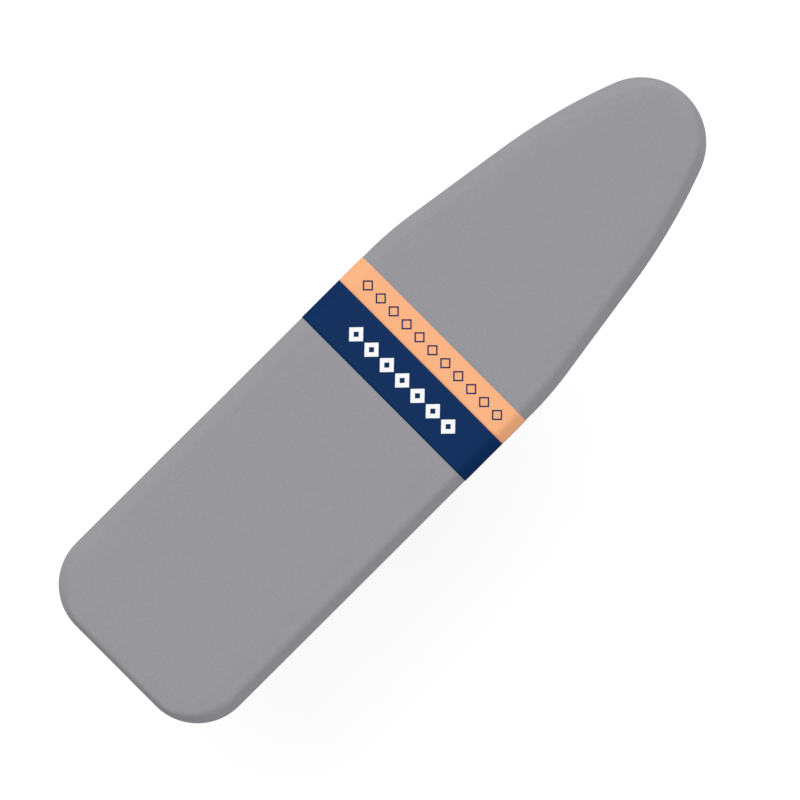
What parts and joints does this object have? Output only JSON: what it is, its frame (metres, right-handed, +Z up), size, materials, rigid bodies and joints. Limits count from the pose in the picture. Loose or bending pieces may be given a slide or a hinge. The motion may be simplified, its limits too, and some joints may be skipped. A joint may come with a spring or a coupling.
{
  "type": "folding ironing board",
  "caption": "Padded ironing board on folding crossed tube legs, with a sliding carriage, height rack, release lever, removable cloth cover and a two-colour paper label band.",
  "frame": {"origin": "on the floor, under the middle of the covered board", "axes": "+X along the board towards its nose, +Y to the left when facing the nose, +Z up"},
  "size_m": [1.374, 0.3942, 0.9006],
  "materials": {
    "cover_cloth": "plain woven cotton, smooth",
    "hem_tape": "woven tape",
    "elastic": "braided cord",
    "batting": "soft non-woven",
    "foam": "open-cell",
    "felt": "needled",
    "label_navy": "printed card",
    "label_peach": "printed card",
    "top_enamel": "powder coat",
    "rail_enamel": "powder coat",
    "zinc_steel": "zinc plated",
    "spring_steel": "drawn wire",
    "leg_enamel": "powder coat",
    "dark_plastic": "moulded",
    "nylon": "moulded"
  },
  "bodies": {
    "board": {"cover": "cover_cloth", "hem_casing": "hem_tape", "hem_elastic": "elastic", "batting_layer": "batting", "foam_layer": "foam", "felt_layer": "felt", "navy_label_band": "label_navy", "peach_label_band": "label_peach", "perforated_top": "top_enamel", "rim_frame": "top_enamel", "rail_left": "rail_enamel", "rail_right": "rail_enamel", "rail_tie_tail": "rail_enamel", "rail_tie_nose": "rail_enamel", "height_rack": "zinc_steel", "rail_rivets": "zinc_steel", "rack_rivets": "zinc_steel", "tie_rivets": "zinc_steel", "nose_pivot_rod": "zinc_steel", "pivot_spacers": "zinc_steel", "pivot_end_caps": "dark_plastic"},
    "outer_leg": {"outer_tube_left": "leg_enamel", "outer_tube_right": "leg_enamel", "outer_bracket_left": "leg_enamel", "outer_bracket_right": "leg_enamel", "outer_tube_plugs": "dark_plastic", "outer_brace": "leg_enamel", "outer_foot_bar": "leg_enamel", "outer_foot_cap_left": "dark_plastic", "outer_foot_cap_right": "dark_plastic", "cross_bolts": "zinc_steel", "cross_nuts": "zinc_steel", "cross_spacers": "nylon"},
    "inner_leg": {"inner_tube_left": "leg_enamel", "inner_tube_right": "leg_enamel", "inner_bracket_left": "leg_enamel", "inner_bracket_right": "leg_enamel", "inner_tube_plugs": "dark_plastic", "inner_brace": "leg_enamel", "inner_foot_bar": "leg_enamel", "inner_foot_cap_left": "dark_plastic", "inner_foot_cap_right": "dark_plastic", "cross_bushes": "nylon"},
    "slide_carriage": {"slide_shoe_left": "nylon", "slide_shoe_right": "nylon", "carriage_bridge": "zinc_steel", "bridge_screws": "zinc_steel"},
    "release_lever": {"slide_rod": "zinc_steel", "rod_spacers": "zinc_steel", "rod_clips": "zinc_steel", "latch_pawl": "zinc_steel", "latch_spring": "spring_steel", "lever_arm": "leg_enamel", "lever_grip": "dark_plastic"}
  },
  "joints": [
    {"name": "leg_fold", "type": "hinge", "parent": "board", "child": "outer_leg", "pos_m": [0.29, 0, 0.87], "axis": [0, 1, 0], "range_deg": [0, 52]},
    {"name": "leg_cross", "type": "hinge", "parent": "outer_leg", "child": "inner_leg", "pos_m": [0.0396, 0, 0.50727], "axis": [0, 1, 0], "range_deg": [-104, 0]},
    {"name": "carriage_level", "type": "hinge", "parent": "inner_leg", "child": "slide_carriage", "pos_m": [-0.21081, 0, 0.87], "axis": [0, 1, 0], "range_deg": [0, 52]},
    {"name": "release_lever", "type": "hinge", "parent": "slide_carriage", "child": "release_lever", "pos_m": [-0.21081, 0, 0.87], "axis": [0, 1, 0], "range_deg": [-8, 8], "stiffness_Nm_per_rad": 1.2, "springref_deg": -8, "deforming": ["latch_spring"]}
  ],
  "couplings": [
    {"joint": "leg_cross", "follows": "leg_fold", "ratio": -2},
    {"joint": "carriage_level", "follows": "leg_fold", "ratio": 1}
  ]
}
